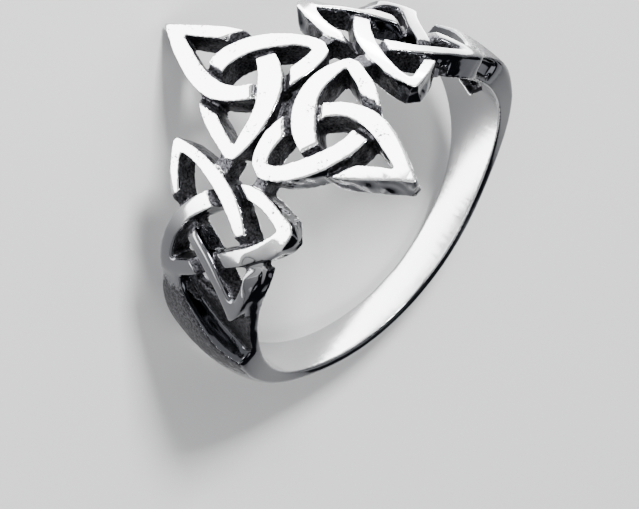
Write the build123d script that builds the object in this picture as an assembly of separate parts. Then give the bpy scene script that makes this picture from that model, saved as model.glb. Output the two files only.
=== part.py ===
"""Cast stainless steel finger ring whose open head is a run of interlaced knots.

The ring is drawn with the finger along Z and the head towards +X, then laid on its side at the end.
Turns are degrees round the finger from the middle of the head; reaches run along the finger.
"""
from build123d import *
from collections import namedtuple
from math import atan2, cos, degrees, radians, sin, tan
import os

# Band, in millimetres
BORE_RADIUS = 9.5
HEAD_THICK = 1.5
SIDE_THICK = 1.35
SHOULDER_THICK = 1.88
BACK_THICK = 1.02
SHOULDER_HALF_WIDTH = 3.3
BACK_HALF_WIDTH = 1.1

# Knots: how far round the finger and along it they go
MIDDLE_HALF_TURN = 23.0
MIDDLE_REACH = 9.35
SIDE_FROM_TURN = 25.0
SIDE_TO_TURN = 65.0
SIDE_REACH = 4.9
STRAND_WIDTH = 1.1
WALL_DRAFT = 0.06

# Relief where one strand passes below another
DIP_DEPTH = 0.6
DIP_LENGTH = 0.55

# The points of the knots are blunt, and more so towards the finger
NOSE_CUT = 0.15
NOSE_LEAN = 12.0

# Lower metal between the strands
SEAM_THICK = 0.8
SEAM_WIDTH = 0.9
SEAM_HALF_TURN = 17.0
TIE_THICK = 1.2
RAIL_THICK = 0.65
RAIL_WIDTH = 0.55
FLOOR_THICK = 0.55

# Pockets in the side walls, from one height over the finger hole to another, and a well in the hole's wall
NOTCH_LOW = 0.15
NOTCH_HIGH = 1.08
POCKET_LOW = 0.3
POCKET_HIGH = 1.27
WELL_DEPTH = 0.35

HEAD_RADIUS = BORE_RADIUS + HEAD_THICK
INNER_PLANE = BORE_RADIUS * 0.78
OUTER_PLANE = BORE_RADIUS + 1.2 * SHOULDER_THICK

Point = namedtuple("Point", "turn reach")
Row = namedtuple("Row", "turn reach width")
Tip = namedtuple("Tip", "outer inner")
Strand = namedtuple("Strand", "start rows end outer_left")
Crossing = namedtuple("Crossing", "over under")
Knot = namedtuple("Knot", "turn_from turn_to middle reach tips noses strands crossings")
Section = namedtuple("Section", "turn half_width thick edge")

# The triquetra next to the near edge: turns are shares of MIDDLE_HALF_TURN, reaches of MIDDLE_REACH
# and widths of STRAND_WIDTH. Its partner is the same knot turned half round the head's middle.
MIDDLE = Knot(
    turn_from=0.0, turn_to=MIDDLE_HALF_TURN, middle=0.0, reach=MIDDLE_REACH,
    tips={
        "apex": Tip(Point(-0.07, 1.0), Point(-0.05, 0.83)),
        "left": Tip(Point(-1.0, 0.07), Point(-0.79, 0.1)),
        "right": Tip(Point(0.94, 0.1), Point(0.74, 0.15)),
    },
    noses=["apex", "left", "right"],
    strands={
        "port": Strand("apex", [Row(-0.33, 0.63, 1.0), Row(-0.39, 0.45, 1.02), Row(-0.32, 0.315, 0.91),
                                Row(-0.14, 0.21, 0.91), Row(0.13, 0.12, 0.95),
                                Row(0.51, 0.08, 0.95)], "right", False),
        "starboard": Strand("apex", [Row(0.21, 0.68, 0.82), Row(0.36, 0.5, 0.86), Row(0.31, 0.32, 1.05),
                                     Row(0.09, 0.17, 1.32), Row(-0.26, 0.07, 1.09),
                                     Row(-0.57, 0.055, 0.91)], "left", True),
        "cross": Strand("left", [Row(-0.74, 0.285, 0.86), Row(-0.46, 0.46, 0.91), Row(-0.11, 0.515, 1.05),
                                 Row(0.265, 0.465, 1.05), Row(0.61, 0.34, 1.0),
                                 Row(0.805, 0.215, 0.86)], "right", True),
    },
    crossings=[Crossing("port", "cross"), Crossing("cross", "starboard"), Crossing("starboard", "port")],
)

# The knot beside the triquetras: turns are shares of the way from SIDE_FROM_TURN to SIDE_TO_TURN,
# reaches of SIDE_REACH.
SIDE = Knot(
    turn_from=SIDE_FROM_TURN, turn_to=SIDE_TO_TURN, middle=(SIDE_FROM_TURN + SIDE_TO_TURN) / 2,
    reach=SIDE_REACH,
    tips={
        "far": Tip(Point(0.018, -0.94), Point(0.085, -0.765)),
        "near": Tip(Point(0.055, 1.0), Point(0.145, 0.8)),
        "low_far": Tip(Point(0.98, -0.635), Point(0.845, -0.475)),
        "low_near": Tip(Point(1.03, 0.47), Point(0.84, 0.49)),
    },
    noses=["far", "near"],
    strands={
        "inner_long": Strand("far", [Row(0.04, -0.58, 0.68), Row(0.075, -0.275, 0.86), Row(0.15, 0.04, 1.0),
                                     Row(0.25, 0.255, 0.95), Row(0.37, 0.44, 0.91), Row(0.5, 0.62, 0.91),
                                     Row(0.66, 0.645, 0.78)], "low_near", True),
        "outer_long": Strand("far", [Row(0.185, -0.775, 0.57), Row(0.36, -0.625, 0.66),
                                     Row(0.505, -0.38, 0.77), Row(0.64, -0.055, 0.91),
                                     Row(0.79, 0.255, 0.86)], "low_near", False),
        "inner_short": Strand("near", [Row(0.045, 0.6, 0.73), Row(0.03, 0.355, 0.77), Row(0.075, 0.11, 0.82),
                                       Row(0.205, -0.12, 0.95), Row(0.385, -0.37, 0.95),
                                       Row(0.6, -0.53, 0.91)], "low_far", False),
        "outer_short": Strand("near", [Row(0.265, 0.805, 0.91), Row(0.41, 0.59, 0.95), Row(0.54, 0.345, 0.95),
                                       Row(0.69, 0.04, 0.95), Row(0.84, -0.255, 0.95)], "low_far", True),
    },
    crossings=[Crossing("inner_long", "inner_short"), Crossing("outer_short", "inner_long"),
               Crossing("outer_long", "outer_short"), Crossing("inner_short", "outer_long")],
)

# Outer line of the head: turns as shares of SIDE_TO_TURN, thicknesses of HEAD_THICK.
HEAD_LINE = [(0.0, 1.0), (0.22, 0.97), (0.415, 0.9), (0.75, 0.88), (0.94, 0.93), (1.16, 1.06), (1.4, 0.9),
             (2.0, 0.8)]

# Band from the shoulder round to the back: turns as shares of the way from SIDE_TO_TURN to the back,
# half widths of SHOULDER_HALF_WIDTH, thicknesses and the heights of the side walls of SHOULDER_THICK.
BAND = [
    Section(-0.03, 0.97, 0.72, 0.7),
    Section(0.03, 0.94, 0.78, 0.76),
    Section(0.085, 0.92, 0.9, 0.83),
    Section(0.147, 0.87, 1.0, 0.8),
    Section(0.217, 0.8, 0.935, 0.67),
    Section(0.343, 0.65, 0.76, 0.48),
    Section(0.562, 0.425, 0.567, 0.3),
    Section(0.781, 0.355, 0.527, 0.27),
    Section(1.0, BACK_HALF_WIDTH / SHOULDER_HALF_WIDTH, BACK_THICK / SHOULDER_THICK, 0.29),
]

# Corners of the lower and of the cut parts beside a side knot, in the shares of that knot.
RECESS = [Point(0.8, -0.22), Point(0.875, -0.3), Point(0.95, -0.325), Point(1.04, -0.28),
          Point(1.125, -0.17), Point(1.21, 0.0), Point(1.3, 0.2), Point(1.375, 0.45), Point(1.41, 0.75),
          Point(1.41, 1.2), Point(0.8, 1.2)]
RAIL = [Point(0.46, 0.785), Point(0.55, 0.785), Point(0.65, 0.77), Point(0.775, 0.725), Point(0.925, 0.675),
        Point(1.125, 0.635), Point(1.375, 0.59)]
FLOOR_HOLE = [Point(0.675, -0.04), Point(0.8, -0.21), Point(0.96, -0.25), Point(1.0, 0.0),
              Point(0.94, 0.28), Point(0.84, 0.3)]
FAR_WEB = [Point(0.4, -0.6), Point(0.45, -0.62), Point(0.525, -0.63), Point(0.525, -0.5)]
SIDE_NOTCH = [Point(0.49, -0.57), Point(0.59, -0.57), Point(0.59, -0.9), Point(0.49, -0.9)]
SIDE_POCKET = [Point(0.925, -0.56), Point(1.19, -0.56), Point(1.19, -0.9), Point(0.925, -0.9)]
WELL = [Point(1.65, 0.09), Point(1.82, -0.02), Point(1.6, -0.285), Point(1.4, -0.39)]
TIES = [Tip(Point(-0.1, -0.31), Point(0.025, -0.1)), Tip(Point(-0.1, 0.245), Point(-0.005, 0.41))]


def flat(point, knot):
    """Place of a table's point on the plane that touches the head at the knot's middle."""
    turn = knot.turn_from + point.turn * (knot.turn_to - knot.turn_from)
    return Vector(HEAD_RADIUS * tan(radians(turn - knot.middle)), point.reach * knot.reach)


def lifted(places, plane, middle):
    """The flat places carried towards the finger's axis on to the plane at that distance."""
    share = plane / HEAD_RADIUS
    return [Vector(plane, place.X * share, place.Y).rotate(Axis.Z, middle) for place in places]


def centre_line(strand, knot):
    first, last = knot.tips[strand.start], knot.tips[strand.end]
    ends = [(flat(tip.outer, knot) + flat(tip.inner, knot)) * 0.5 for tip in (first, last)]
    rows = [flat(row, knot) for row in strand.rows]
    return [ends[0]] + rows + [ends[1]]


def edge_lines(strand, knot, spread):
    """Outer and inner line of a strand drawn flat, each moved out by spread."""
    places = centre_line(strand, knot)
    line = Spline(*places)
    outer, inner = [], []
    for row, place in zip(strand.rows, places[1:-1]):
        along = line.tangent_at(place)
        side = Vector(-along.Y, along.X) if strand.outer_left else Vector(along.Y, -along.X)
        half = row.width * STRAND_WIDTH / 2 + spread
        outer.append(place + side * half)
        inner.append(place - side * half)
    for tip, where in ((knot.tips[strand.start], 0), (knot.tips[strand.end], len(outer) + 1)):
        point, hollow = flat(tip.outer, knot), flat(tip.inner, knot)
        pull = (point - hollow).normalized() * spread
        outer.insert(where, point + pull)
        inner.insert(where, hollow - pull)
    return outer, inner


def strand_solid(strand, knot):
    """A strand with walls that point at the finger's axis, cut off well outside the metal."""
    loops = []
    for plane in (INNER_PLANE, OUTER_PLANE):
        spread = WALL_DRAFT * (HEAD_RADIUS - plane)
        outer, inner = [lifted(line, plane, knot.middle) for line in edge_lines(strand, knot, spread)]
        inner.reverse()
        loops.append(Wire([Spline(*outer), Line(outer[-1], inner[0]),
                           Spline(*inner), Line(inner[-1], outer[0])]))
    return Solid.make_loft(loops, ruled=True)


def local_frame(place, way, knot):
    """Upright plane through a flat place: its x runs along way, its y is the distance from the axis."""
    lean = degrees(atan2(place.X, HEAD_RADIUS))
    along = Vector(0, way.X * cos(radians(lean)), way.Y).normalized()
    upright = Plane(origin=(0, 0, place.Y), x_dir=along, z_dir=along.cross(Vector(1, 0, 0)))
    return upright, knot.middle + lean


def cutter_over(corners, place, way, knot, half_length):
    upright, turn = local_frame(place, way, knot)
    shape = make_face(Polyline(*corners, close=True))
    return extrude(upright * shape, amount=half_length, both=True).rotate(Axis.Z, turn)


def dip_cutter(crossing, knot, top):
    """What is taken off the top of the strand that goes below, on both sides of the one above."""
    over, under = [Spline(*centre_line(knot.strands[name], knot)[1:-1]) for name in crossing]
    place = over.find_intersection_points(under)[0]
    over_way, under_way = over.tangent_at(place), under.tangent_at(place)
    slant = abs(over_way.X * under_way.Y - over_way.Y * under_way.X)
    half = STRAND_WIDTH / 2
    corners = [(-half - 2 * DIP_LENGTH, top + DIP_DEPTH), (-half - DIP_LENGTH, top), (-half, top - DIP_DEPTH),
               (half, top - DIP_DEPTH), (half + DIP_LENGTH, top), (half + 2 * DIP_LENGTH, top + DIP_DEPTH)]
    across = Vector(-over_way.Y, over_way.X)
    return cutter_over(corners, place, across, knot, STRAND_WIDTH * 1.5 / slant)


def nose_cutter(tip, knot, top):
    """What is taken off the point of a knot."""
    point, hollow = flat(tip.outer, knot), flat(tip.inner, knot)
    drop = top - INNER_PLANE
    back = NOSE_CUT + drop * tan(radians(NOSE_LEAN))
    corners = [(-NOSE_CUT, top), (-back, INNER_PLANE), (STRAND_WIDTH * 2, INNER_PLANE),
               (STRAND_WIDTH * 2, OUTER_PLANE), (-NOSE_CUT, OUTER_PLANE)]
    return cutter_over(corners, point, point - hollow, knot, STRAND_WIDTH * 1.5)


def knot_solids(knot, top):
    solids = {name: strand_solid(strand, knot) for name, strand in knot.strands.items()}
    for crossing in knot.crossings:
        solids[crossing.under] = solids[crossing.under] - dip_cutter(crossing, knot, top)
    for name in knot.noses:
        cutter = nose_cutter(knot.tips[name], knot, top)
        for key, strand in knot.strands.items():
            if name in (strand.start, strand.end):
                solids[key] = solids[key] - cutter
    return list(solids.values())


def prism(corners, middle, smooth=False):
    """Solid with walls towards the finger's axis over corners in the shares of the side knot."""
    frame = SIDE._replace(middle=middle)
    places = [flat(corner, frame) for corner in corners]
    loops = []
    for plane in (INNER_PLANE, OUTER_PLANE):
        spots = lifted(places, plane, middle)
        loops.append(Wire([Spline(*spots, periodic=True)]) if smooth else Wire.make_polygon(spots))
    return Solid.make_loft(loops, ruled=True)


def between(solid, low, high):
    """The part of a solid from one height over the bore to another."""
    return (solid & round_bar(BORE_RADIUS + high)) - round_bar(BORE_RADIUS + low)


def sector(first, last, thick):
    """Block of the ring between two turns and two reaches, each given in degrees and millimetres."""
    inside = BORE_RADIUS - HEAD_THICK
    outside = BORE_RADIUS + thick
    outline = make_face(Polyline((inside, first.reach), (outside, first.reach),
                                 (outside, last.reach), (inside, last.reach), close=True))
    return revolve(Plane.XZ * outline, Axis.Z, last.turn - first.turn).rotate(Axis.Z, first.turn)


def tie(corners):
    first, last = [Point(SIDE.turn_from + corner.turn * (SIDE.turn_to - SIDE.turn_from),
                         corner.reach * SIDE.reach) for corner in corners]
    return sector(first, last, TIE_THICK)


def band_section(section, way):
    turn = SIDE_TO_TURN + section.turn * (180 - SIDE_TO_TURN)
    half = section.half_width * SHOULDER_HALF_WIDTH
    inside = BORE_RADIUS - HEAD_THICK / 3
    top = BORE_RADIUS + section.thick * SHOULDER_THICK
    wall = BORE_RADIUS + section.edge * SHOULDER_THICK
    loop = Wire([Line((inside, -half), (wall, -half)), ThreePointArc((wall, -half), (top, 0), (wall, half)),
                 Line((wall, half), (inside, half)), Line((inside, half), (inside, -half))])
    return (Plane.XZ * loop).rotate(Axis.Z, way * turn)


def band_solid():
    sections = [band_section(section, 1) for section in BAND]
    sections += [band_section(section, -1) for section in reversed(BAND[:-1])]
    return Solid.make_loft(sections)


def head_limit():
    """Everything inside the outer line of the head."""
    ahead = [(turn * SIDE_TO_TURN, thick) for turn, thick in HEAD_LINE]
    behind = [(-turn, thick) for turn, thick in reversed(ahead[1:])]
    spots = []
    for turn, thick in ahead + [(180, HEAD_LINE[-1][1])] + behind:
        radius = BORE_RADIUS + thick * HEAD_THICK
        spots.append((radius * cos(radians(turn)), radius * sin(radians(turn))))
    line = Spline(*spots, periodic=True)
    return extrude(make_face(line), amount=MIDDLE_REACH * 1.5, both=True)


def round_bar(radius):
    return Cylinder(radius, MIDDLE_REACH * 3)


def half_turned(solids):
    return [solid.rotate(Axis.X, 180) for solid in solids]


os.makedirs("parts", exist_ok=True)

# What stands on one half of the head; the other half is the same turned half round.
notch = between(prism(SIDE_NOTCH, SIDE.middle), NOTCH_LOW, NOTCH_HIGH)
side_strands = [strand - notch for strand in knot_solids(SIDE, BORE_RADIUS + SIDE_THICK)]
rail_inner = [Point(turn, reach - RAIL_WIDTH / SIDE_REACH) for turn, reach in reversed(RAIL)]
low_webs = [between(prism(corners, SIDE.middle), -HEAD_THICK, RAIL_THICK)
            for corners in (RAIL + rail_inner, FAR_WEB)]
half = knot_solids(MIDDLE, HEAD_RADIUS) + side_strands + low_webs + [tie(corners) for corners in TIES]
seam = sector(Point(-SEAM_HALF_TURN, -SEAM_WIDTH / 2), Point(SEAM_HALF_TURN, SEAM_WIDTH / 2), SEAM_THICK)
head = (half[0] + half[1:] + half_turned(half)) & head_limit()

# The shoulders are cut down to a floor between their ridge and the knot.
recess = prism(RECESS, SIDE.middle) - round_bar(BORE_RADIUS + FLOOR_THICK)
pocket = between(prism(SIDE_POCKET, SIDE.middle), POCKET_LOW, POCKET_HIGH)
floor_hole = prism(FLOOR_HOLE, SIDE.middle, smooth=True)
well_middle = SIDE_FROM_TURN + WELL[0].turn * (SIDE_TO_TURN - SIDE_FROM_TURN)
well = prism(WELL, well_middle) & round_bar(BORE_RADIUS + WELL_DEPTH)
cuts = [recess, pocket, floor_hole, well]
band = band_solid()
for cut in cuts + half_turned(cuts):
    band = band - cut

ring = head + seam + band - round_bar(BORE_RADIUS)

# Laid on its side: it touches the floor under the far apex and under the back of the band.
lift = MIDDLE_REACH - NOSE_CUT - BACK_HALF_WIDTH
tilt = degrees(atan2(lift, HEAD_RADIUS + BORE_RADIUS + BACK_THICK))
ring = ring.rotate(Axis.Y, -tilt).rotate(Axis.Z, -90)
box = ring.bounding_box()
ring = ring.moved(Location((-box.center().X, -box.center().Y, -box.min.Z)))
ring.label = "ring"
export_step(ring, "parts/ring.step")
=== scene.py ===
import math

import bpy
import numpy as np
from mathutils import Matrix, Vector, noise
from mathutils.bvhtree import BVHTree


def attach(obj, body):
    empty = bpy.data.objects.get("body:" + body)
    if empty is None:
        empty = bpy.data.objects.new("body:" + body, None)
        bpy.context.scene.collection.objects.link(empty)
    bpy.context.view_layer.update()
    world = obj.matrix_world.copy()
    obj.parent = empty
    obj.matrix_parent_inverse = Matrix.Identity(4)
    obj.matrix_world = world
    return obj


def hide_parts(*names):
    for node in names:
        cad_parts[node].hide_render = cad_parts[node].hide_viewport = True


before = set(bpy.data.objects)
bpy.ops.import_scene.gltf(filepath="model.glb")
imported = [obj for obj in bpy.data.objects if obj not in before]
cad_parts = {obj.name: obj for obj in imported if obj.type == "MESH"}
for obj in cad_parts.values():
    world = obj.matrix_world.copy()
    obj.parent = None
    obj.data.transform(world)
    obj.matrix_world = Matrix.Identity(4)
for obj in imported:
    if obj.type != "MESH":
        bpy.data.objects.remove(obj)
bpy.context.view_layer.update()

# The ring: one lost-wax casting in stainless steel, with the knots, the webs between them, the
# shoulders and the band in one piece. It is tumbled and buffed after casting, which rounds every
# edge, and rounds the strands most where they run down into the shoulders.
MM_PER_M = 1000.0
BORE_MM = 9.5
BORE_CENTRE_MM = np.array([0.0, 1.79630417, 4.97704263])
LEAN = math.atan2(0.35226702, 0.93589954)
HEAD_AXES = np.array([[0.0, -math.cos(LEAN), math.sin(LEAN)],
                      [1.0, 0.0, 0.0],
                      [0.0, math.sin(LEAN), math.cos(LEAN)]])
SAME_PLACE_MM = 0.0005
SKIN_GRID_MM = 0.06
SMOOTHING = 0.5
TUMBLING_ROUNDS = 14
SHOULDER_ROUNDS = 130
RING_TRIANGLES = 192000

bpy.ops.object.select_all(action="DESELECT")
ring_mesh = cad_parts["ring"].data.copy()
ring_mesh.materials.clear()
ring = bpy.data.objects.new("knotwork_ring", ring_mesh)
bpy.context.collection.objects.link(ring)
bpy.context.view_layer.objects.active = ring
ring.select_set(True)
ring_mesh.transform(Matrix.Scale(MM_PER_M, 4))
bpy.ops.object.mode_set(mode="EDIT")
bpy.ops.mesh.select_all(action="SELECT")
bpy.ops.mesh.remove_doubles(threshold=SAME_PLACE_MM)
bpy.ops.mesh.normals_make_consistent(inside=False)
bpy.ops.object.mode_set(mode="OBJECT")

skin = ring.modifiers.new("cast_skin", "REMESH")
skin.mode = "VOXEL"
skin.voxel_size = SKIN_GRID_MM
bpy.ops.object.modifier_apply(modifier=skin.name)
tumbled = ring.modifiers.new("tumbled_edges", "SMOOTH")
tumbled.factor = SMOOTHING
tumbled.iterations = TUMBLING_ROUNDS
bpy.ops.object.modifier_apply(modifier=tumbled.name)


def read_vectors(mesh, what):
    """The place or the normal of every vertex, one to a row."""
    values = np.empty(len(mesh.vertices) * 3, np.float32)
    mesh.vertices.foreach_get(what, values)
    return values.reshape(-1, 3).astype(float)


def along_finger(vectors):
    """Vectors turned so that the head looks along x and the finger lies along z."""
    return vectors @ HEAD_AXES.T


def measured(mesh):
    """Each vertex from the hole's centre, its distance from the finger's axis, and its degrees
    round that axis from the middle of the head."""
    place = along_finger(read_vectors(mesh, "co") - BORE_CENTRE_MM)
    radius = np.hypot(place[:, 0], place[:, 1])
    return place, radius, np.degrees(np.arctan2(place[:, 1], place[:, 0]))


def ease(value, low, high):
    """A soft step from 0 at the low value to 1 at the high one."""
    share = np.clip((value - low) / (high - low), 0.0, 1.0)
    return share * share * (3 - 2 * share)


def stretch(turn, start, end):
    """1 along a stretch of the ring, with a soft step where it starts and where it ends."""
    return ease(turn, *start) * (1 - ease(turn, *end))


# The wheel has worn each side knot down towards one edge of the head.
WORN_WIDTH_MM = 1.1
WORN_PAST_RIM_MM = 0.1
WORN_DEPTH_MM = 0.55
WORN_DEG = ((31, 40), (48, 55))
WORN_HEIGHT_MM = (10.0, 10.8)
KNOT_TOP_MM = 10.25


def worn_edge(place, radius, way_round):
    """How near each place is to the worn edge of its side knot, from 0 to 1 at the rim."""
    height = np.abs(place[:, 2])
    degree = np.abs(way_round).astype(int)
    near = np.zeros(len(place))
    for knot in (-1, 1):
        here = (way_round * knot > 0) & (place[:, 2] * knot > 0)
        top = here & (radius > KNOT_TOP_MM)
        rim = np.zeros(180 + 2)
        np.maximum.at(rim, degree[top], height[top])
        rim[1:-1] = (rim[:-2] + 2 * rim[1:-1] + rim[2:]) / 4
        rim = rim[degree[here]]
        near[here] = ease(height[here], rim - WORN_WIDTH_MM, rim + WORN_PAST_RIM_MM)
    return near * stretch(np.abs(way_round), *WORN_DEG)


place, radius, way_round = measured(ring.data)
turn = np.abs(way_round)
worn = WORN_DEPTH_MM * worn_edge(place, radius, way_round) * ease(radius, *WORN_HEIGHT_MM)
place[:, :2] *= (1 - worn / radius)[:, None]

# The wax for the casting was cut by hand, so the side walls of the strands waver a little.
WAVER_MM = 0.1
WAVERS_PER_MM = 1.4
CUT_MEAN, CUT_SWING, CUT_LIMITS = 0.35, 1.2, (-0.15, 1)
WALL_SLOPE = (0.35, 0.75)
KNOT_WALLS_DEG = (52, 62)
facing = along_finger(read_vectors(ring.data, "normal"))
slope = np.abs(facing[:, 0] * place[:, 0] + facing[:, 1] * place[:, 1]) / radius
walls = (1 - ease(slope, *WALL_SLOPE)) * (1 - ease(turn, *KNOT_WALLS_DEG))
waver = np.array([noise.noise(spot) for spot in (place * WAVERS_PER_MM).tolist()])
cut_in = np.clip(CUT_MEAN + CUT_SWING * waver, *CUT_LIMITS)
place -= facing * (WAVER_MM * walls * cut_in)[:, None]
shaped = place @ HEAD_AXES + BORE_CENTRE_MM
ring.data.vertices.foreach_set("co", shaped.astype(np.float32).ravel())
ring.data.update()

# The strands are rounded most at the shoulders, in two steps from the knots to the band.
FIRST_MELT, FIRST_MELT_DEG = 0.7, (34, 42)
SECOND_MELT, SECOND_MELT_DEG = 0.3, (46, 60)
BAND_STARTS_DEG = (80, 96)
OFF_HOLE_MM = (9.75, 10.15)
WEIGHT_STEPS = 10
melted = FIRST_MELT * ease(turn, *FIRST_MELT_DEG) + SECOND_MELT * ease(turn, *SECOND_MELT_DEG)
melted = melted * (1 - ease(turn, *BAND_STARTS_DEG)) * ease(radius, *OFF_HOLE_MM)
group = ring.vertex_groups.new(name="shoulder")
steps = np.round(melted * WEIGHT_STEPS).astype(int)
for step in range(1, WEIGHT_STEPS + 1):
    group.add(np.flatnonzero(steps == step).tolist(), step / WEIGHT_STEPS, "REPLACE")
rounded = ring.modifiers.new("rounded_shoulders", "SMOOTH")
rounded.factor = SMOOTHING
rounded.iterations = SHOULDER_ROUNDS
rounded.vertex_group = group.name
bpy.ops.object.modifier_apply(modifier=rounded.name)
ring.vertex_groups.clear()
thinned = ring.modifiers.new("fewer_faces", "DECIMATE")
thinned.ratio = RING_TRIANGLES / (len(ring.data.polygons) * 2)
bpy.ops.object.modifier_apply(modifier=thinned.name)
bpy.ops.object.shade_smooth()

# What the buffing wheel has reached, with painted light and shade: the tops of the strands are
# painted bright as if lit, the finger hole a shade darker, and what lies low or shut in keeps the
# dark grain of the casting and gets painted shade, most where the feelers find it shut in.
# Each place of the skin is marked for it, by how it faces, how far round the finger it is and how
# high it stands over the hole.
FEELERS = 24
FEELER_MM = 2.0
FEELER_LIFT_MM = 0.03
GOLDEN_TURN = math.pi * (3 - math.sqrt(5))
OPEN_TO_LIGHT = (0.52, 0.86)
EDGE_BEND_MM = (0.004, 0.014)
mesh = ring.data
count = len(mesh.vertices)
co = read_vectors(mesh, "co")
normal = read_vectors(mesh, "normal")
place, radius, way_round = measured(mesh)
facing = along_finger(normal)
turn = np.abs(way_round)
outward = (facing[:, 0] * place[:, 0] + facing[:, 1] * place[:, 1]) / radius
edges = np.empty(len(mesh.edges) * 2, np.int32)
mesh.edges.foreach_get("vertices", edges)
first, second = edges.reshape(-1, 2).T
neighbours = np.bincount(edges, minlength=count).astype(float)


def gathered(to_first, to_second):
    """What every vertex gets over all its edges."""
    return np.bincount(first, to_first, count) + np.bincount(second, to_second, count)


def spread(values, rounds):
    """Each place takes on something of its neighbours, a number of times."""
    for _ in range(rounds):
        values = (values + gathered(values[second], values[first]) / neighbours) / 2
    return values


# Short feelers from each place find how much of the space in front of it is open; the places that
# are shut in get painted shade.
tree = BVHTree.FromPolygons([Vector(c) for c in co], [tuple(p.vertices) for p in mesh.polygons])
rises = [1 - (i + 0.5) / FEELERS for i in range(FEELERS)]
feelers = []
for i, rise in enumerate(rises):
    lying = math.sqrt(1 - rise * rise)
    feelers.append((lying * math.cos(i * GOLDEN_TURN), lying * math.sin(i * GOLDEN_TURN), rise))
open_share = np.zeros(count)
for i in range(count):
    up = Vector(normal[i])
    side = up.orthogonal().normalized()
    other = up.cross(side)
    start = Vector(co[i]) + up * FEELER_LIFT_MM
    open_share[i] = sum(c for a, b, c in feelers
                        if tree.ray_cast(start, side * a + other * b + up * c, FEELER_MM)[0] is None)
open_share = spread(open_share / sum(rises), 2)

# The wheel has rubbed the edges that stand out: they lose the grain, and get a painted highlight.
gap = np.einsum("ij,ij->i", co[second] - co[first], normal[first])
back = np.einsum("ij,ij->i", co[first] - co[second], normal[second])
bend = -gathered(gap, back) / neighbours
rubbed_and_lit_edges = ease(spread(bend, 1), *EDGE_BEND_MM)

# Where each kind of place lies: degrees round the finger, and millimetres from its axis.
HEAD_TOP_DEG = [0, 14, 27, 49, 61, 66]
HEAD_TOP_MM = [11.0, 10.96, 10.85, 10.82, 10.85, 10.85]
WORN_TOP_SHARE = 1.2
FACES_IN = (0.5, 0.8)
FACES_OUT = (0.3, 0.6)
HOLE_WALL_MM = (BORE_MM + 0.04, BORE_MM + 0.16)
KNOTS_END_DEG = (56, 62)
DIP_MM = (0.1, 0.4)
TIE_DEG = ((19, 21), (26, 28))
TIE_DROP_MM = (0.08, 0.18)
FLOOR_FACES = (0.6, 0.9)
FLOOR_TOP_MM = (10.2, 10.4)
FLOOR_DEG = ((50, 56), (84, 90))
SIDE_FACES = (0.6, 0.85)
SIDE_FOOT_MM = (10.3, 10.5)
SIDE_DEG = ((60, 72), (78, 104))
FRAY_ROUNDS = 90
FRAYED = (0.02, 0.25)
head_top = np.interp(turn, HEAD_TOP_DEG, HEAD_TOP_MM)
head_top -= WORN_TOP_SHARE * WORN_DEPTH_MM * worn_edge(place, radius, way_round)
faces_out = ease(outward, *FACES_OUT)
in_hole = ease(-outward, *FACES_IN) * (1 - ease(radius, *HOLE_WALL_MM))
dipped = (1 - ease(turn, *KNOTS_END_DEG)) * faces_out * ease(head_top - radius, *DIP_MM)
frayed = ease(spread(dipped, FRAY_ROUNDS), *FRAYED) * faces_out
tie_top = stretch(turn, *TIE_DEG) * faces_out * ease(head_top - radius, *TIE_DROP_MM)
shoulder_floor = ease(outward, *FLOOR_FACES) * (1 - ease(radius, *FLOOR_TOP_MM))
shoulder_floor = shoulder_floor * stretch(turn, *FLOOR_DEG)
shoulder_side = ease(outward, *SIDE_FACES) * ease(radius, *SIDE_FOOT_MM)
shoulder_side = shoulder_side * stretch(turn, *SIDE_DEG)

# How much of the cast grain and painted shade is left at each kind of place, and how much painted
# light it has.
SIDE_GRAIN_AND_SHADE, TIE_GRAIN_AND_SHADE, FRAYED_GRAIN_AND_SHADE = 0.82, 0.82, 0.95
RUBBED_OFF = 0.5
TOP_FACES = (0.55, 0.85)
SHADED_SHOULDER_DEG = ((32, 52), (104, 135))
SHOULDER_SHADE = 0.9
EDGE_HIGHLIGHT = 0.6
# Painted shade with the grain: low places, shut-in places, the shoulder floor and sides, the ties
# and the frayed edges get the dark grain.
grain_and_shade = np.maximum.reduce([dipped, 1 - ease(open_share, *OPEN_TO_LIGHT), shoulder_floor,
                          SIDE_GRAIN_AND_SHADE * shoulder_side, TIE_GRAIN_AND_SHADE * tie_top, FRAYED_GRAIN_AND_SHADE * frayed])
grain_and_shade = spread(np.clip(grain_and_shade * (1 - in_hole) - RUBBED_OFF * rubbed_and_lit_edges, 0, 1), 1)
# Painted shade: the tops are painted darker from the knots down over the shoulders, and bright again
# at the back of the band.
shoulder_shade = stretch(turn, *SHADED_SHOULDER_DEG)
# Painted light: the tops that face out, and the rubbed edges, get the bright steel; the walls get
# the dark steel.
lit_tops = ease(outward, *TOP_FACES) * (1 - SHOULDER_SHADE * shoulder_shade) + EDGE_HIGHLIGHT * rubbed_and_lit_edges
lit_tops = np.clip(lit_tops, 0, 1)
for name, values in (("cast_grain_and_shade", grain_and_shade), ("finger_hole", in_hole), ("painted_lit_tops", lit_tops)):
    layer = mesh.attributes.new(name, "FLOAT", "POINT")
    layer.data.foreach_set("value", values.astype(np.float32))
mesh.transform(Matrix.Scale(1 / MM_PER_M, 4))
mesh.update()

# The colours, with painted light and shade: mirror-bright steel on the tops, painted as lit, almost
# black steel on the side walls, painted as shaded, a darker steel with fine lines round the finger
# hole, painted shade, and dark, pitted metal where the grain of the casting is left, which also
# carries painted shade in the recesses.
BRIGHT_STEEL = (0.66, 0.66, 0.67, 1)
HOLE_STEEL = (0.5, 0.5, 0.51, 1)
WALL_STEEL = (0.06, 0.062, 0.069, 1)
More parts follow.
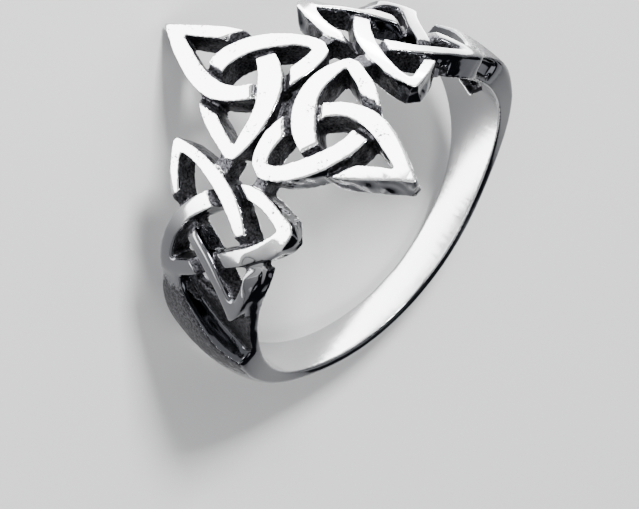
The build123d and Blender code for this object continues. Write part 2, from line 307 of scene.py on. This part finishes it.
# Painted shade: the grain's tones are near black, as in shaded recesses.
DARK_GRAIN_AND_SHADE = [(0.38, (0.005, 0.005, 0.006, 1)), (0.7, (0.09, 0.09, 0.1, 1))]
steel = bpy.data.materials.new("polished_stainless_steel")
steel.use_nodes = True
nodes, links = steel.node_tree.nodes, steel.node_tree.links
shader = nodes["Principled BSDF"]
shader.inputs["Metallic"].default_value = 1.0


def node(kind, *feeds, **values):
    """A node of the steel's material, its settings given by name and its inputs fed in order."""
    made = nodes.new("ShaderNode" + kind)
    for key, value in values.items():
        if key in made.inputs:
            made.inputs[key].default_value = value
        else:
            setattr(made, key, value)
    for socket, feed in zip([s for s in made.inputs if s.enabled], feeds):
        if isinstance(feed, (int, float, tuple)):
            socket.default_value = feed
        else:
            links.new(feed, socket)
    return made


def mask(name):
    """One of the marks that the buffing left on the skin."""
    return node("Attribute", attribute_name=name).outputs["Fac"]


def maths(operation, *terms):
    return node("Math", *terms, operation=operation).outputs["Value"]


def soft_step(feed, low, high):
    """A soft step from 0 where the feed is low to 1 where it is high."""
    step = node("MapRange", feed, interpolation_type="SMOOTHSTEP",
                **{"From Min": low, "From Max": high})
    return step.outputs["Result"]


def blended(share, tone, other_tone):
    return node("Mix", share, tone, other_tone, data_type="RGBA").outputs["Result"]


spot = node("TexCoord").outputs["Object"]
grain = node("TexNoise", spot, Scale=7600.0, Detail=3.0, Roughness=0.65).outputs["Fac"]
pits = node("TexNoise", spot, Scale=3400.0, Detail=2.0, Roughness=0.55).outputs["Fac"]
waves = node("TexNoise", spot, Scale=380.0, Detail=1.0, Roughness=0.4).outputs["Fac"]
stains = node("TexNoise", spot, Scale=900.0, Detail=3.0, Roughness=0.6).outputs["Fac"]

# The grain breaks up into specks where the wheel has half reached it, and here and there the
# casting has a cluster of pinholes, which the wheel leaves dark.
GRAIN_AND_SHADE_SHARE, PITS_SHARE, PINHOLE_SHARE = 0.9, 0.84, 0.75
CLUSTER = (0.54, 0.64)
PINHOLE = (0.55, 0.64)
GRAIN_AND_SHADE_LEFT = (0.78, 1.02)
# The grain mask also holds painted shade in low and shut-in places.
grain_and_shade_reach = maths("MULTIPLY_ADD", mask("cast_grain_and_shade"), GRAIN_AND_SHADE_SHARE, maths("MULTIPLY", pits, PITS_SHARE))
pinholes = maths("MULTIPLY", soft_step(stains, *CLUSTER), soft_step(grain, *PINHOLE))
pinholes = maths("MULTIPLY", pinholes, mask("painted_lit_tops"))
grain_and_shade_left = soft_step(maths("MULTIPLY_ADD", pinholes, PINHOLE_SHARE, grain_and_shade_reach), *GRAIN_AND_SHADE_LEFT)

dark = node("ValToRGB", grain)
for stop, (position, tone) in zip(dark.color_ramp.elements, DARK_GRAIN_AND_SHADE):
    stop.position = position
    stop.color = tone
# Painted light and shade: the side walls get the almost black steel as if shaded, the finger hole
# the darker steel, the tops the bright steel as if lit.
lit_and_shaded_steel = blended(mask("finger_hole"), WALL_STEEL, HOLE_STEEL)
lit_and_shaded_steel = blended(mask("painted_lit_tops"), lit_and_shaded_steel, BRIGHT_STEEL)
links.new(blended(grain_and_shade_left, lit_and_shaded_steel, dark.outputs["Color"]), shader.inputs["Base Color"])

# Lines of the last polish run round the finger hole.
LINES_ROUND = 1.5
LINES_PER_M = 14000.0
from_hole = node("Mapping", spot, vector_type="TEXTURE",
                 Location=tuple(BORE_CENTRE_MM / MM_PER_M), Rotation=(-LEAN, 0, 0))
ways = node("SeparateXYZ", from_hole.outputs["Vector"]).outputs
sweep = maths("MULTIPLY", maths("ARCTAN2", ways["Y"], ways["X"]), LINES_ROUND)
lines_spot = node("CombineXYZ", sweep, maths("MULTIPLY", ways["Z"], LINES_PER_M), 0.0)
lines = node("TexNoise", lines_spot.outputs["Vector"], Scale=1.0, Detail=2.0, Roughness=0.6)
in_lines = maths("MULTIPLY", lines.outputs["Fac"], mask("finger_hole"))

BUFFED_ROUGHNESS, CAST_ROUGHNESS = 0.07, 0.42
LINES_ROUGHNESS, STAINS_ROUGHNESS = 0.16, 0.05
rough = node("MapRange", grain_and_shade_left, **{"To Min": BUFFED_ROUGHNESS, "To Max": CAST_ROUGHNESS})
rough = maths("MULTIPLY_ADD", in_lines, LINES_ROUGHNESS, rough.outputs["Result"])
rough = maths("MULTIPLY_ADD", stains, STAINS_ROUGHNESS, rough)
links.new(rough, shader.inputs["Roughness"])

# The relief, in metres: pits in the grain, the lines in the hole, and the wheel's slow waves.
GRAIN_IN_PITS = 0.5
cast_relief = maths("ADD", pits, maths("MULTIPLY", grain, GRAIN_IN_PITS))
cast_bump = node("Bump", Strength=1.0, Distance=0.00006)
links.new(maths("MULTIPLY", cast_relief, grain_and_shade_left), cast_bump.inputs["Height"])
line_bump = node("Bump", Strength=0.35, Distance=0.000003)
links.new(in_lines, line_bump.inputs["Height"])
links.new(cast_bump.outputs["Normal"], line_bump.inputs["Normal"])
wave_bump = node("Bump", Strength=0.3, Distance=0.000012)
links.new(waves, wave_bump.inputs["Height"])
links.new(line_bump.outputs["Normal"], wave_bump.inputs["Normal"])
links.new(wave_bump.outputs["Normal"], shader.inputs["Normal"])
ring.data.materials.append(steel)

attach(ring, "root")
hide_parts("ring")

# The table: a plain, pale sheet of matt paper, far wider than the ring. The ring lies on it, and it
# is a stage, no part of the ring.
bpy.ops.object.select_all(action="DESELECT")
bpy.ops.mesh.primitive_plane_add(size=2.4)
floor = bpy.context.active_object
floor.name = "floor"
paper = bpy.data.materials.new("pale_paper")
paper.use_nodes = True
paper_shader = paper.node_tree.nodes["Principled BSDF"]
paper_shader.inputs["Base Color"].default_value = (0.8, 0.8, 0.8, 1)
paper_shader.inputs["Roughness"].default_value = 0.85
floor.data.materials.append(paper)

# Studio light. Light cards lie on the paper, facing up, where the strands and the finger hole
# mirror them. A key stands front left, soft walls in front and at both sides, a card behind and
# a box above, in a dim, bluish room. The camera sees none of them.
CARD_LIFT_M = 0.0003
room = bpy.data.worlds.new("dim_room")
bpy.context.scene.world = room
room.use_nodes = True
room_light = room.node_tree.nodes["Background"]
room_light.inputs["Color"].default_value = (0.42, 0.48, 0.6, 1)
room_light.inputs["Strength"].default_value = 0.1


def soft_box(name, stand, aim, width, height, power):
    """A flat light that stands at one point, in metres, and faces another; power in watts."""
    lamp = bpy.data.lights.new(name, "AREA")
    lamp.shape = "RECTANGLE"
    lamp.size, lamp.size_y = width, height
    lamp.energy = power
    lamp.spread = math.radians(180)
    holder = bpy.data.objects.new(name, lamp)
    bpy.context.collection.objects.link(holder)
    holder.location = stand
    towards = Vector(aim) - Vector(stand)
    holder.rotation_euler = towards.to_track_quat("-Z", "Y").to_euler()
    holder.visible_camera = False


def light_card(name, x, y, width, height, power):
    """A flat light that lies on the paper and faces up."""
    soft_box(name, (x, y, CARD_LIFT_M), (x, y, 1), width, height, power)


light_card("front_card", 0, -0.05, 0.072, 0.076, 0.2)
light_card("finger_hole_card", -0.0013, 0.0038, 0.0038, 0.0087, 0.0015)
light_card("side_card", -0.023, -0.006, 0.022, 0.016, 0.014)
soft_box("key_soft_box", (-0.14, -0.2, 0.22), (0, 0, 0), 0.07, 0.07, 2.0)
soft_box("rear_card", (-0.085, 0.2, 0.085), (0, 0, 0.005), 0.09, 0.17, 0.08)
soft_box("front_wall", (0, -0.45, 0.24), (0, 0, 0.1), 1.1, 0.45, 2.2)
for side in (-1, 1):
    soft_box("side_wall", (side * 0.5, -0.06, 0.24), (0, 0, 0.1), 0.8, 0.45, 1.1)
soft_box("top_soft_box", (0.1, 0.05, 0.5), (0, 0, 0), 0.25, 0.25, 0.7)

# The camera stands where the photograph's did, seen from the ring, with a lens of the same angle
# of view.
CAMERA_TURN_DEG = (-20.24218034, -32.2842515, 141.79691834)
view = bpy.data.cameras.new("photo_view")
view.lens = 169.014
view.sensor_width = 36.0
view.clip_start = 0.005
view.clip_end = 10.0
camera = bpy.data.objects.new("photo_view", view)
bpy.context.collection.objects.link(camera)
camera.location = (0.03231114, -0.09224831, 0.13422357)
camera.rotation_euler = [math.radians(degrees) for degrees in CAMERA_TURN_DEG]
bpy.context.scene.camera = camera
